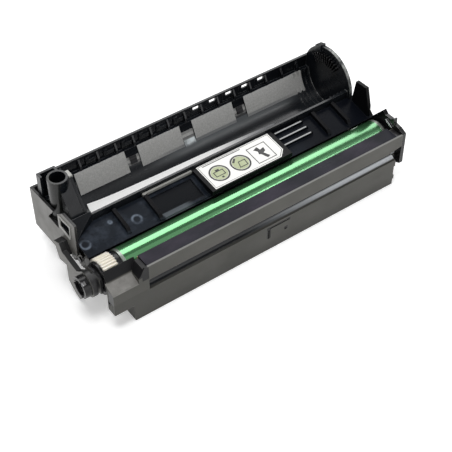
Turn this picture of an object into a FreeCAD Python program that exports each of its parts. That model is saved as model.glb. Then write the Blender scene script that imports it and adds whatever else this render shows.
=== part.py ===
import FreeCAD, Part
import os
import re
import Sketcher

# Laser printer drum unit: a black moulded frame with an open toner bay at the back, the developer
# rollers in the middle under a sloping cover, and the green photoconductor drum at the front
# between its cleaning blade and charge roller and above its waste toner box.
# Sizes are drawn with X along the drum from its driven end, Y from the front face to the back and
# Z up from the surface that the unit rests on. Every piece is then shifted by the same amount, so
# that the origin is at the middle of the base.

doc = FreeCAD.newDocument("DrumUnit")
sheet = doc.addObject("Spreadsheet::Sheet", "Sizes")

# Driving sizes: lengths in millimetres, angles in degrees, teeth and ribs as plain counts.
SIZES = {
    # Common to all mouldings
    "wall": 2.0,
    "seat_gap": 0.3,
    "running_gap": 0.09,
    "nip_gap": 0.2,
    # Drum, its gear and its drive
    "drum_radius": 15.0,
    "drum_wall": 0.9,
    "drum_left": 4.0,
    "drum_length": 252.0,
    "drum_depth": 26.0,
    "drum_height": 32.0,
    "drum_teeth": 36,
    "drum_gear_width": 12.0,
    "flange_step": 1.3,
    "spigot_length": 6.0,
    "shaft_radius": 3.0,
    "coupler_radius": 9.0,
    "coupler_length": 5.7,
    "coupler_slot": 3.0,
    # Gear train and the rollers behind the drum
    "gear_backlash": 0.15,
    "mesh_play": 0.05,
    "small_gear_width": 7.0,
    "small_shaft_radius": 2.5,
    "developer_radius": 8.0,
    "developer_angle": -25.0,
    "developer_teeth": 22,
    "supply_angle": -15.0,
    "supply_teeth": 16,
    "agitator_angle": -10.0,
    "agitator_reach_out": 4.6,
    "agitator_vane": 1.6,
    "doctor_thickness": 0.6,
    "doctor_gap": 0.35,
    # Charge roller under the drum
    "charge_radius": 6.0,
    "charge_angle": -120.0,
    "charge_shaft_radius": 2.0,
    "charge_bearing_width": 5.0,
    "charge_spring_radius": 2.2,
    # Waste toner box
    "box_wall": 8.0,
    "foot_height": 5.8,
    "ledge_lip": 1.5,
    "groove_radius": 5.0,
    "end_box_depth": 9.0,
    "datum_hole_radius": 1.3,
    "slit_width": 1.0,
    "slit_depth": 1.5,
    "slit_length": 20.0,
    "slit_drop": 11.0,
    "holder_thickness": 1.2,
    "holder_drop": 5.8,
    "blade_thickness": 1.4,
    # Toner bay
    "bay_radius": 25.0,
    "ring_thickness": 3.0,
    "notch_width": 12.0,
    "notch_count": 3,
    "channel_width": 3.0,
    "cell_count": 15,
    "cell_rib": 1.6,
    "window_width": 9.7,
    "window_count": 5,
    "arc_rib_pitch": 4.0,
    "arc_rib_width": 1.6,
    "arc_rib_height": 1.2,
    "arc_rib_count": 4,
    "inlet_width": 26.0,
    "inlet_count": 5,
    "post_radius": 8.0,
    "post_bore": 6.2,
    "clip_width": 6.0,
    # Developer frame, the sump under the cover
    "frame_lip": 9.0,
    # Developer cover
    "cover_depth": 26.6,
    "cover_rise": 5.4,
    "cover_thickness": 2.2,
    "cover_rib": 3.0,
    "cover_rib_height": 4.0,
    "block_length": 77.0,
    "label_margin": 0.9,
    "label_thickness": 0.3,
    "label_corner": 6.0,
    "fin_thickness": 3.0,
    # End covers and the bearing arm
    "arm_gap": 3.0,
    "arm_thickness": 4.0,
    "arm_radius": 10.5,
    "arm_boss_radius": 7.2,
    "arm_collar_radius": 13.2,
    "right_cover_thickness": 3.4,
    "contact_thickness": 0.5,
}

# Sizes that follow from the driving ones
DERIVED = {
    # Along the drum
    "drum_right": "drum_left + drum_length",
    "gear_left": "drum_left - 4 - drum_gear_width",
    "small_gear_left": "gear_left + 3",
    "roller_left": "drum_left + 10",
    "roller_length": "drum_length - 20",
    "roller_right": "roller_left + roller_length",
    "right_cover_inner": "drum_right + 2.6",
    "right_cover_outer": "right_cover_inner + right_cover_thickness",
    "bay_left": "drum_left - 2",
    "bay_right": "drum_right",
    "left_cover_outer": "bay_left - 19",
    "arm_inner": "left_cover_outer - arm_gap",
    "arm_outer": "arm_inner - arm_thickness",
    "arm_boss_length": "gear_left - seat_gap - wall - arm_inner",
    "coupler_tip": "arm_outer - seat_gap - coupler_length",
    "frame_left": "bay_left - 2",
    "frame_right": "right_cover_inner - seat_gap - wall",
    "shaft_left": "small_gear_left - 1",
    "shaft_length": "frame_right + wall - shaft_left",
    "shift_x": "-(coupler_tip + right_cover_outer) / 2",
    # Gear train: each gear is turned so that a gap faces the tooth of the gear that drives it
    "developer_reach": "drum_radius + developer_radius + nip_gap",
    "gear_module": "2 * (developer_reach - mesh_play) / (drum_teeth + developer_teeth)",
    "supply_reach": "gear_module * (developer_teeth + supply_teeth) / 2 + mesh_play",
    "supply_radius": "supply_reach - developer_radius - nip_gap",
    "agitator_reach": "gear_module * supply_teeth + mesh_play",
    "developer_y": "drum_depth + developer_reach * cos(developer_angle)",
    "developer_z": "drum_height + developer_reach * sin(developer_angle)",
    "supply_y": "developer_y + supply_reach * cos(supply_angle)",
    "supply_z": "developer_z + supply_reach * sin(supply_angle)",
    "agitator_y": "supply_y + agitator_reach * cos(agitator_angle)",
    "agitator_z": "supply_z + agitator_reach * sin(agitator_angle)",
    "developer_turn": "developer_angle + 180 + 180 / developer_teeth",
    "supply_turn": "supply_angle + 180 + 180 / supply_teeth"
                   " + developer_teeth / supply_teeth * (supply_angle - developer_turn)",
    "agitator_turn": "agitator_angle + 180 + 180 / supply_teeth + agitator_angle - supply_turn",
    "charge_reach": "drum_radius + charge_radius + nip_gap",
    "charge_y": "drum_depth + charge_reach * cos(charge_angle)",
    "charge_z": "drum_height + charge_reach * sin(charge_angle)",
    # Waste toner box
    "box_left": "drum_left - 4",
    "box_right": "drum_right - 3",
    "foot_depth": "drum_depth + 3",
    "band_left": "drum_left + 6.6",
    "band_right": "right_cover_inner",
    "band_foot": "drum_height - 6",
    "ledge_depth": "drum_depth - drum_radius + 1.5",
    "ledge_top": "drum_height + 16.6",
    "groove_left": "band_left + 3",
    "end_box_left": "left_cover_outer",
    "end_box_right": "drum_left + 1",
    "end_box_foot": "drum_height - 15.7",
    "end_box_front": "drum_height + 4.6",
    "end_box_back": "drum_height + 9.3",
    "slit_left": "drum_left + 120",
    "slit_top": "band_foot - 3",
    "blade_left": "band_left + 3",
    "blade_length": "band_right - band_left - 8",
    "blade_back": "ledge_depth + seat_gap + holder_thickness",
    # Developer cover
    "cover_left": "bay_left - 16.5",
    "cover_right": "right_cover_inner - seat_gap",
    "cover_front": "drum_depth + 10.3",
    "cover_back": "cover_front + cover_depth",
    "cover_front_top": "drum_height + 13.1",
    "cover_back_top": "cover_front_top + cover_rise",
    "cover_slope": "cover_rise / cover_depth",
    "block_left": "(cover_left + cover_right - block_length) / 2 + 11.6",
    "block_front": "cover_front - 2.1",
    "block_front_top": "cover_front_top + 6.9",
    "block_back_top": "cover_back_top + 3.7",
    "block_slope": "(block_back_top - block_front_top) / (cover_back - block_front)",
    "label_left": "block_left + 3.5",
    "label_length": "block_length - 7.5",
    "label_foot": "block_front_top + block_slope * label_margin",
    "label_head": "block_back_top - block_slope * label_margin",
    "doctor_y": "developer_y + 6.6",
    "doctor_foot": "developer_z + 19.1",
    # Toner bay
    "bay_outer": "bay_radius + wall",
    "bay_depth": "cover_back + bay_outer + 0.1",
    "bay_height": "cover_back_top + 2.5",
    "bay_lip_top": "bay_height + 3.8",
    "overall_depth": "bay_depth + bay_radius + channel_width + wall - 0.2",
    "channel_front": "overall_depth - wall - channel_width",
    "rim_top": "bay_height + 8.7",
    "ring_radius": "bay_outer + 2.5",
    "panel_left": "bay_left + 18",
    "panel_right": "bay_right - 12",
    "panel_top": "bay_height - 2.2",
    "panel_foot": "bay_height - 18.6",
    "notch_left": "panel_left + 0.205 * (panel_right - panel_left)",
    "notch_pitch": "0.235 * (panel_right - panel_left)",
    "cell_left": "bay_left + 7.5",
    "cell_pitch": "(bay_right - bay_left - 23) / (cell_count - 1)",
    "window_left": "cell_left + 8 * cell_pitch - window_width - 0.6",
    "arc_rib_left": "bay_right - 20",
    "inlet_left": "bay_left + 28",
    "inlet_pitch": "(bay_right - bay_left - 86) / (inlet_count - 1)",
    "post_x": "bay_left - 8.7",
    "post_y": "bay_depth - 2",
    "post_foot": "bay_height - 7",
    "post_top": "bay_height + 29.6",
    "tooth_top": "bay_height + 30.8",
    "shift_y": "-overall_depth / 2",
    # Developer frame
    "frame_front": "drum_depth + 8.2",
    "frame_back": "bay_depth - 7.5",
    "rail_height": "bay_height - bay_outer - 2",
}

FUNCTIONS = {"sin", "cos", "sqrt"}
NAME = re.compile(r"\b[a-z][a-z0-9_]*\b")


def in_sheet(text):
    """The formula with each size name written as a reference to the spreadsheet."""
    return NAME.sub(lambda word: word[0] if word[0] in FUNCTIONS else "Sizes." + word[0], text)


def number(text):
    """The present value of a formula of sizes."""
    value = sheet.evalExpression(in_sheet(text))
    return float(getattr(value, "Value", value))


cells = [(alias, str(value)) for alias, value in SIZES.items()]
cells += [(alias, "=" + text) for alias, text in DERIVED.items()]
for row, (alias, content) in enumerate(cells, start=1):
    sheet.set(f"A{row}", alias)
    sheet.set(f"B{row}", content)
    sheet.setAlias(f"B{row}", alias)
doc.recompute()

# The plane that a sketch across each axis lies in. The sketch across Y looks along -Y.
SKETCH_PLANE = {"x": "YZ_Plane", "y": "XZ_Plane", "z": "XY_Plane"}
pieces = []


class Piece:
    """One named sub-part: a body whose sketches and features read their sizes from the sheet."""

    def __init__(self, label, at=("0", "0", "0"), turn="0"):
        self.body = doc.addObject("PartDesign::Body", label)
        self.body.Label = label
        self.body.AllowCompound = True
        self.body.Placement.Rotation = FreeCAD.Rotation(FreeCAD.Vector(1, 0, 0), number(turn))
        self.body.setExpression("Placement.Rotation.Angle", in_sheet(turn))
        for letter, offset, shift in zip("xyz", at, ("shift_x", "shift_y", "0")):
            formula = in_sheet(f"{offset} + {shift}")
            self.body.setExpression(f"Placement.Base.{letter}", formula)
        pieces.append(self)

    def origin_feature(self, role):
        return next(item for item in self.body.Origin.OriginFeatures if item.Role == role)

    def sketch(self, axis, start, length):
        """A sketch across the axis, placed so that a feature of this length begins at start."""
        drawing = self.body.newObject("Sketcher::SketchObject", self.body.Name + "Sketch")
        drawing.AttachmentSupport = (self.origin_feature(SKETCH_PLANE[axis]), "")
        drawing.MapMode = "FlatFace"
        offset = f"-({start} + {length})" if axis == "y" else start
        drawing.setExpression("AttachmentOffset.Base.z", in_sheet(offset))
        return drawing

    def hold(self, drawing, geometry, vertex, point, corner):
        """Distances from the sketch's origin to a vertex, bound to the corner's two formulas."""
        kinds = ("DistanceX", "DistanceY")
        for kind, value, text in zip(kinds, (point.x, point.y), corner):
            place = Sketcher.Constraint(kind, -1, 1, geometry, vertex, value)
            drawing.setExpression(f"Constraints[{drawing.addConstraint(place)}]", in_sheet(text))

    def outline(self, drawing, corners):
        """A closed outline through the corners."""
        points = [FreeCAD.Vector(number(across), number(up), 0) for across, up in corners]
        first = drawing.GeometryCount
        count = len(points)
        for index, point in enumerate(points):
            drawing.addGeometry(Part.LineSegment(point, points[(index + 1) % count]), False)
        for index, point in enumerate(points):
            meeting = (first + index, 2, first + (index + 1) % count, 1)
            drawing.addConstraint(Sketcher.Constraint("Coincident", *meeting))
            self.hold(drawing, first + index, 1, point, corners[index])

    def circle(self, drawing, centre, radius):
        middle = FreeCAD.Vector(number(centre[0]), number(centre[1]), 0)
        ring = Part.Circle(middle, FreeCAD.Vector(0, 0, 1), number(radius))
        index = drawing.addGeometry(ring, False)
        self.hold(drawing, index, 3, middle, centre)
        size = drawing.addConstraint(Sketcher.Constraint("Radius", index, number(radius)))
        drawing.setExpression(f"Constraints[{size}]", in_sheet(radius))

    def extrude(self, drawing, length, cut):
        kind = "Pocket" if cut else "Pad"
        feature = self.body.newObject("PartDesign::" + kind, self.body.Name + kind)
        feature.Profile = drawing
        feature.setExpression("Length", in_sheet(length))
        feature.Reversed = cut
        return feature

    def prism(self, corners, start, length, axis="x", cut=False):
        drawing = self.sketch(axis, start, length)
        self.outline(drawing, corners)
        return self.extrude(drawing, length, cut)

    def block(self, low, high, axis="x", cut=False):
        """A rectangular block between two opposite corners, drawn across the axis."""
        across, up, along = {"x": (1, 2, 0), "y": (0, 2, 1), "z": (0, 1, 2)}[axis]
        corners = [(low[across], low[up]), (high[across], low[up]),
                   (high[across], high[up]), (low[across], high[up])]
        return self.prism(corners, low[along], f"({high[along]}) - ({low[along]})", axis, cut)

    def rod(self, centre, radius, start, length, axis="x", cut=False, bore=None):
        drawing = self.sketch(axis, start, length)
        self.circle(drawing, centre, radius)
        if bore:
            self.circle(drawing, centre, bore)
        return self.extrude(drawing, length, cut)

    def row(self, feature, spacing, count):
        """Copies of a feature along X."""
        pattern = self.body.newObject("PartDesign::LinearPattern", self.body.Name + "Row")
        pattern.Originals = [feature]
        pattern.Direction = (self.origin_feature("X_Axis"), [""])
        pattern.setExpression("Length", in_sheet(f"({spacing}) * (({count}) - 1)"))
        pattern.setExpression("Occurrences", in_sheet(count))
        self.body.Tip = pattern

    def ring(self, feature, count):
        """Copies of a feature all round the body's own X axis."""
        pattern = self.body.newObject("PartDesign::PolarPattern", self.body.Name + "Ring")
        pattern.Originals = [feature]
        pattern.Axis = (self.origin_feature("X_Axis"), [""])
        pattern.Angle = 360
        pattern.setExpression("Occurrences", in_sheet(count))
        self.body.Tip = pattern


AXLE = ("0", "0")
DRUM_AXIS = ("0", "drum_depth", "drum_height")
BAY = ("bay_depth", "bay_height")


def around(place, corners):
    """Corners about the axis of the drum or the bay, in parts of its radius back and up."""
    return [(f"{place}_depth + {place}_radius * ({back})", f"{place}_height + {place}_radius * ({up})")
            for back, up in corners]


def on_cover(depth, rise="0"):
    """A corner on the sloping top of the developer cover, or the given rise above it."""
    return (depth, f"cover_front_top + cover_slope * ({depth} - cover_front) + {rise}")


def under_cover(depth):
    """A corner on the sloping underside of the developer cover."""
    return on_cover(depth, "-cover_thickness")


# Waste toner box at the front


def make_waste_box():
    """The long front moulding: foot, front wall, ledge, half-round groove and left end box."""
    box = Piece("waste_toner_box")
    lower = [
        ("0", "0"), ("foot_depth", "0"), ("foot_depth", "foot_height"),
        ("box_wall", "foot_height"), ("box_wall", "band_foot"), ("0", "band_foot"),
    ]
    box.prism(lower, "box_left", "box_right - box_left")
    upper = [
        ("0", "band_foot - wall"), ("box_wall", "band_foot - wall"),
        ("box_wall", "ledge_top - 10"), ("ledge_depth", "ledge_top - wall"),
        ("ledge_depth", "ledge_top"), ("ledge_lip", "ledge_top"),
        ("ledge_lip", "ledge_top + ledge_lip"), ("0", "ledge_top + ledge_lip"),
    ]
    box.prism(upper, "end_box_right", "band_right - end_box_right")
    end_box = [
        ("0", "end_box_foot"), ("end_box_depth", "end_box_foot"),
        ("end_box_depth", "end_box_front"), ("end_box_depth + wall", "end_box_back - wall"),
        ("end_box_depth + wall", "end_box_back"), ("0", "end_box_front"),
    ]
    box.prism(end_box, "end_box_left", "band_left - end_box_left")
    # The band's left end leans back from the end box up to the ledge
    lean = [
        ("end_box_right", "end_box_back"), ("band_left", "ledge_top + ledge_lip + 0.1"),
        ("end_box_right", "ledge_top + ledge_lip + 0.1"),
    ]
    box.prism(lean, "-0.1", "ledge_depth + 0.2", "y", cut=True)
    # Guard that leans over the drum gear, from the top of the end box
    guard = around("drum", [(-1.06, 0.54), (-0.96, 0.53), (-0.55, 0.96), (-0.6, 1.01),
                            (-1.07, 0.58)])
    box.prism(guard, "left_cover_outer + wall", "band_left + 1 - left_cover_outer - wall")
    box.rod(("0", "band_foot + groove_radius"), "groove_radius", "groove_left",
            "band_right - groove_left", cut=True)
    # The band is cut away below at its right end, in front of the end cover
    corner = [
        ("band_right - 13", "band_foot + 10.4"), ("band_right + 0.1", "band_foot + 12.4"),
        ("band_right + 0.1", "band_foot - wall - 0.1"),
        ("band_right - 5", "band_foot - wall - 0.1"), ("band_right - 5", "band_foot + 2"),
    ]
    box.prism(corner, "-0.1", "box_wall - 0.9", "y", cut=True)
    # Slit around a spring tongue in the front face, with a hole in the tongue
    box.block(("slit_left", "-0.1", "slit_top - slit_width"),
              ("slit_left + slit_length", "slit_depth", "slit_top"), "y", cut=True)
    box.block(("slit_left - slit_width", "-0.1", "slit_top - slit_drop"),
              ("slit_left + 0.1", "slit_depth", "slit_top - slit_width"), "y", cut=True)
    box.block(("slit_left + 15.6", "-0.1", "slit_top - 9.8"),
              ("slit_left + 17.2", "slit_depth", "slit_top - 8.2"), "y", cut=True)
    # Recessed datum hole in the left face of the end box, and catches at the right end
    box.rod(("end_box_depth - 1.6", "end_box_foot + 7.9"), "datum_hole_radius",
            "end_box_left", "4", cut=True)
    for rise in ("4", "18"):
        box.block(("box_right - 0.1", "1", rise), ("box_right + 2.2", "5", f"{rise} + 4"))
    return box


def make_cleaning_blade():
    """The rubber blade on its folded steel holder, which lies on the ledge."""
    holder = Piece("cleaning_blade_holder")
    face = "ledge_depth + seat_gap"
    top = "ledge_top + holder_thickness"
    fold = [
        ("ledge_lip + seat_gap", "ledge_top"), (face, "ledge_top"),
        (face, "ledge_top - holder_drop"), ("blade_back", "ledge_top - holder_drop"),
        ("blade_back", top), ("ledge_lip + seat_gap", top),
    ]
    holder.prism(fold, "blade_left", "blade_length")
    blade = Piece("cleaning_blade")
    edge = [
        ("blade_back", "ledge_top - 1"), ("blade_back + blade_thickness", "ledge_top - 1"),
        ("blade_back + blade_thickness", "ledge_top - holder_drop + blade_thickness / 2"),
        ("blade_back", "ledge_top - holder_drop - blade_thickness / 2"),
    ]
    blade.prism(edge, "blade_left", "blade_length")


def make_charge_roller():
    """The charge roller under the drum, in two bearings that springs press up."""
    at = ("0", "charge_y", "charge_z")
    roller = Piece("charge_roller", at)
    roller.rod(AXLE, "charge_radius", "roller_left", "roller_length",
               bore="charge_shaft_radius + running_gap")
    shaft = Piece("charge_shaft", at)
    shaft.rod(AXLE, "charge_shaft_radius", "roller_left - charge_bearing_width",
              "roller_length + 2 * charge_bearing_width")
    half = "charge_shaft_radius + wall"
    sides = {
        "left": "roller_left - seat_gap - charge_bearing_width",
        "right": "roller_right + seat_gap",
    }
    for side, left in sides.items():
        bearing = Piece(f"charge_bearing_{side}", at)
        bearing.block((left, f"-({half})", f"-({half})"),
                      (f"{left} + charge_bearing_width", half, half))
        bearing.rod(AXLE, "charge_shaft_radius + running_gap", left, "charge_bearing_width",
                    cut=True)
        spring = Piece(f"charge_spring_{side}")
        middle = (f"{left} + charge_bearing_width / 2", "charge_y")
        spring.rod(middle, "charge_spring_radius", "foot_height",
                   f"charge_z - ({half}) - foot_height", "z")


# Drum, its gear, flanges, shaft and coupler


def make_drum():
    inner = "drum_radius - drum_wall"
    spigot = f"{inner} - running_gap"
    running_bore = "shaft_radius + running_gap"
    tube = Piece("drum_tube", DRUM_AXIS)
    tube.rod(AXLE, "drum_radius", "drum_left", "drum_length", bore=inner)
    left_flange = Piece("drum_left_flange", DRUM_AXIS)
    left_flange.rod(AXLE, spigot, "gear_left + drum_gear_width",
                    "drum_left - gear_left - drum_gear_width + spigot_length",
                    bore=running_bore)
    right_flange = Piece("drum_right_flange", DRUM_AXIS)
    right_flange.rod(AXLE, spigot, "drum_right - spigot_length", "spigot_length + flange_step",
                     bore=running_bore)
    shaft = Piece("drum_shaft", DRUM_AXIS)
    shaft.rod(AXLE, "shaft_radius", "coupler_tip + coupler_slot",
              "right_cover_outer - 1 - coupler_tip - coupler_slot")
    coupler = Piece("drive_coupler", DRUM_AXIS)
    coupler.rod(AXLE, "coupler_radius", "coupler_tip", "coupler_length", bore=running_bore)
    coupler.rod(AXLE, "coupler_radius - wall", "coupler_tip", "coupler_slot", cut=True)
    slot = coupler.block(("coupler_tip", "shaft_radius + 1", "-coupler_slot / 2"),
                         ("coupler_tip + coupler_slot", "coupler_radius + 1",
                          "coupler_slot / 2"), cut=True)
    coupler.ring(slot, "3")


def make_gear(label, teeth, at, turn, left="small_gear_left", width="small_gear_width",
              bore="small_shaft_radius"):
    """A spur gear: a root cylinder and one tooth, drawn on +Y and repeated around X."""
    gear = Piece(label, at, turn)
    pitch = f"gear_module * {teeth} / 2"
    root = f"{pitch} - gear_module * 1.25"
    tip = f"{pitch} + gear_module"
    half = "(gear_module * 0.7854 - gear_backlash / 2)"
    gear.rod(AXLE, root, left, width, bore=f"{bore} + running_gap")
    tooth = [
        (f"{root} - 0.3", f"-1.45 * {half}"), (tip, f"-0.5 * {half}"), (tip, f"0.5 * {half}"),
        (f"{root} - 0.3", f"1.45 * {half}"),
    ]
    gear.ring(gear.prism(tooth, left, width), teeth)


def make_gear_train():
    make_gear("drum_gear", "drum_teeth", DRUM_AXIS, "developer_angle", "gear_left",
              "drum_gear_width", "shaft_radius")
    make_gear("developer_gear", "developer_teeth", ("0", "developer_y", "developer_z"),
              "developer_turn")
    make_gear("supply_gear", "supply_teeth", ("0", "supply_y", "supply_z"), "supply_turn")
    make_gear("agitator_gear", "supply_teeth", ("0", "agitator_y", "agitator_z"),
              "agitator_turn")


# Rollers, blade and sump of the developer


def make_developer_rollers():
    for name in ("developer", "supply"):
        at = ("0", f"{name}_y", f"{name}_z")
        sleeve = Piece(f"{name}_roller", at)
        sleeve.rod(AXLE, f"{name}_radius", "roller_left", "roller_length",
                   bore="small_shaft_radius + running_gap")
        shaft = Piece(f"{name}_shaft", at)
        shaft.rod(AXLE, "small_shaft_radius", "shaft_left", "shaft_length")
    agitator = Piece("agitator", ("0", "agitator_y", "agitator_z"))
    agitator.rod(AXLE, "small_shaft_radius", "shaft_left", "shaft_length")
    agitator.block(("roller_left", "-agitator_reach_out", "-agitator_vane / 2"),
                   ("roller_right", "agitator_reach_out", "agitator_vane / 2"))


def make_doctor_blade():
    """The thin steel blade that levels the toner on the developer roller, and its holder."""
    holder = Piece("doctor_blade_holder")
    back = "doctor_y + 3.4"
    bar = [
        ("doctor_y", "doctor_foot"), (back, "doctor_foot"), under_cover(back),
        under_cover("doctor_y"),
    ]
    holder.prism(bar, "roller_left", "roller_length")
    blade = Piece("doctor_blade")
    reach = "(developer_radius + doctor_gap)"
    tip = (f"developer_y + {reach} * cos(58)", f"developer_z + {reach} * sin(58)")
    leaf = [
        ("doctor_y - doctor_thickness", "doctor_foot"), tip,
        (f"{tip[0]} + doctor_thickness", tip[1]), ("doctor_y", "doctor_foot"),
        under_cover("doctor_y"), ("doctor_y - doctor_thickness", under_cover("doctor_y")[1]
                                  + " - doctor_thickness"),
    ]
    blade.prism(leaf, "roller_left", "roller_length")


def make_developer_frame():
    """The sump under the cover, with an end wall at each side that carries the shafts."""
    frame = Piece("developer_frame")
    tray = [
        ("frame_front", "0"), ("frame_back", "0"), ("frame_back", "rail_height"),
        ("frame_back - wall", "rail_height"), ("frame_back - wall", "wall"),
        ("frame_front + wall", "wall"), ("frame_front + wall", "frame_lip"),
        ("frame_front", "frame_lip"),
    ]
    frame.prism(tray, "frame_left", "frame_right - frame_left + wall")
    end_wall = [
        ("frame_front", "0"), ("frame_back", "0"), ("frame_back", "rail_height"),
        ("frame_back - 7", "rail_height + 5.6"), ("cover_back - 0.3", "rail_height + 5.6"),
        ("cover_back - 6", "rail_height + 12"), under_cover("cover_back - 6"),
        under_cover("cover_front + 3.5"), ("drum_depth + 17", "drum_height + 4"),
        ("drum_depth + 17", "drum_height - 6"), ("drum_depth + 12", "drum_height - 14"),
        ("frame_front", "drum_height - 18"),
    ]
    for left in ("frame_left", "frame_right"):
        frame.prism(end_wall, left, "wall")
        for name in ("developer", "supply", "agitator"):
            frame.rod((f"{name}_y", f"{name}_z"), "small_shaft_radius + running_gap", left,
                      "wall", cut=True)


def make_developer_cover():
    """The sloping floor between the bay and the drum: ribs, label block, recess and fin."""
    cover = Piece("developer_cover")
    sheet_section = [
        on_cover("cover_front"), under_cover("cover_front + 2"), under_cover("cover_back"),
        on_cover("cover_back"),
    ]
    cover.prism(sheet_section, "cover_left", "cover_right - cover_left")

    def cross_rib(left, front, back, rise="cover_rib_height"):
        section = [
            on_cover(front, "-0.5"), on_cover(back, "-0.5"), on_cover(back, rise),
            on_cover(f"{front} + cover_rib", rise), on_cover(front, "1"),
        ]
        return cover.prism(section, left, "cover_rib")

    def long_rib(depth, left, length, rise, width="wall"):
        section = [
            on_cover(depth, "-0.5"), on_cover(f"{depth} + {width}", "-0.5"),
            on_cover(f"{depth} + {width}", rise), on_cover(depth, rise),
        ]
        return cover.prism(section, left, length)

    recess_left = "block_left - 46"
    cross_rib("cover_left + 36", "cover_front + 3", "cover_back - 1.5")
    cross_rib(recess_left, "cover_front + 1", "cover_back - 0.6")
    cross_rib("cover_right - 45.3", "cover_front + 2", "cover_back - 0.6")
    cross_rib("cover_right - 24.3", "cover_front + 2", "cover_back - 0.6")
    long_rib("cover_back - wall", recess_left, "46", "cover_rib_height", "wall - 0.4")
    long_rib("cover_front + 0.8", recess_left, "46", "1.2")
    recess = [
        on_cover("cover_front + 4.5", "-cover_thickness / 2"),
        on_cover("cover_back - 4", "-cover_thickness / 2"), on_cover("cover_back - 4", "0.1"),
        on_cover("cover_front + 4.5", "0.1"),
    ]
    cover.prism(recess, f"{recess_left} + cover_rib + 1", "41 - cover_rib", cut=True)
    block = [
        ("block_front", "block_front_top"), ("block_front", "block_front_top - 3.4"),
        on_cover("cover_front + 0.4"), on_cover("cover_back", "-0.4"),
        ("cover_back", "block_back_top"),
    ]
    cover.prism(block, "block_left", "block_length")
    for depth in ("9.7", "16.2", "22.7"):
        long_rib(f"cover_front + {depth}", "block_left + block_length - 0.2", "31", "3", "1.2")
    fin = [
        on_cover("cover_front + 2", "-0.4"), on_cover("cover_back - 4", "-0.4"),
        ("cover_back - 7.6", "cover_back_top + 21.1"),
        ("cover_front + 6.7", "cover_back_top + 21.8"),
        ("cover_front + 2", "cover_front_top + 10.5"),
    ]
    cover.prism(fin, "cover_right - 4.3", "fin_thickness")


def make_label():
    """The label on the sloping top of the block, with one corner cut off."""
    label = Piece("label")
    front = "block_front + label_margin"
    back = "cover_back - label_margin"
    strip = [
        (front, "label_foot"), (back, "label_head"), (back, "label_head + label_thickness"),
        (front, "label_foot + label_thickness"),
    ]
    label.prism(strip, "label_left", "label_length")
    right = "label_left + label_length"
    corner = [
        (f"{right} - label_corner", front), (f"{right} + 1", front),
        (f"{right} + 1", f"{front} + label_corner"), (right, f"{front} + label_corner"),
    ]
    label.prism(corner, "block_front_top - 1", "5", "z", cut=True)


# Toner bay


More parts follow.
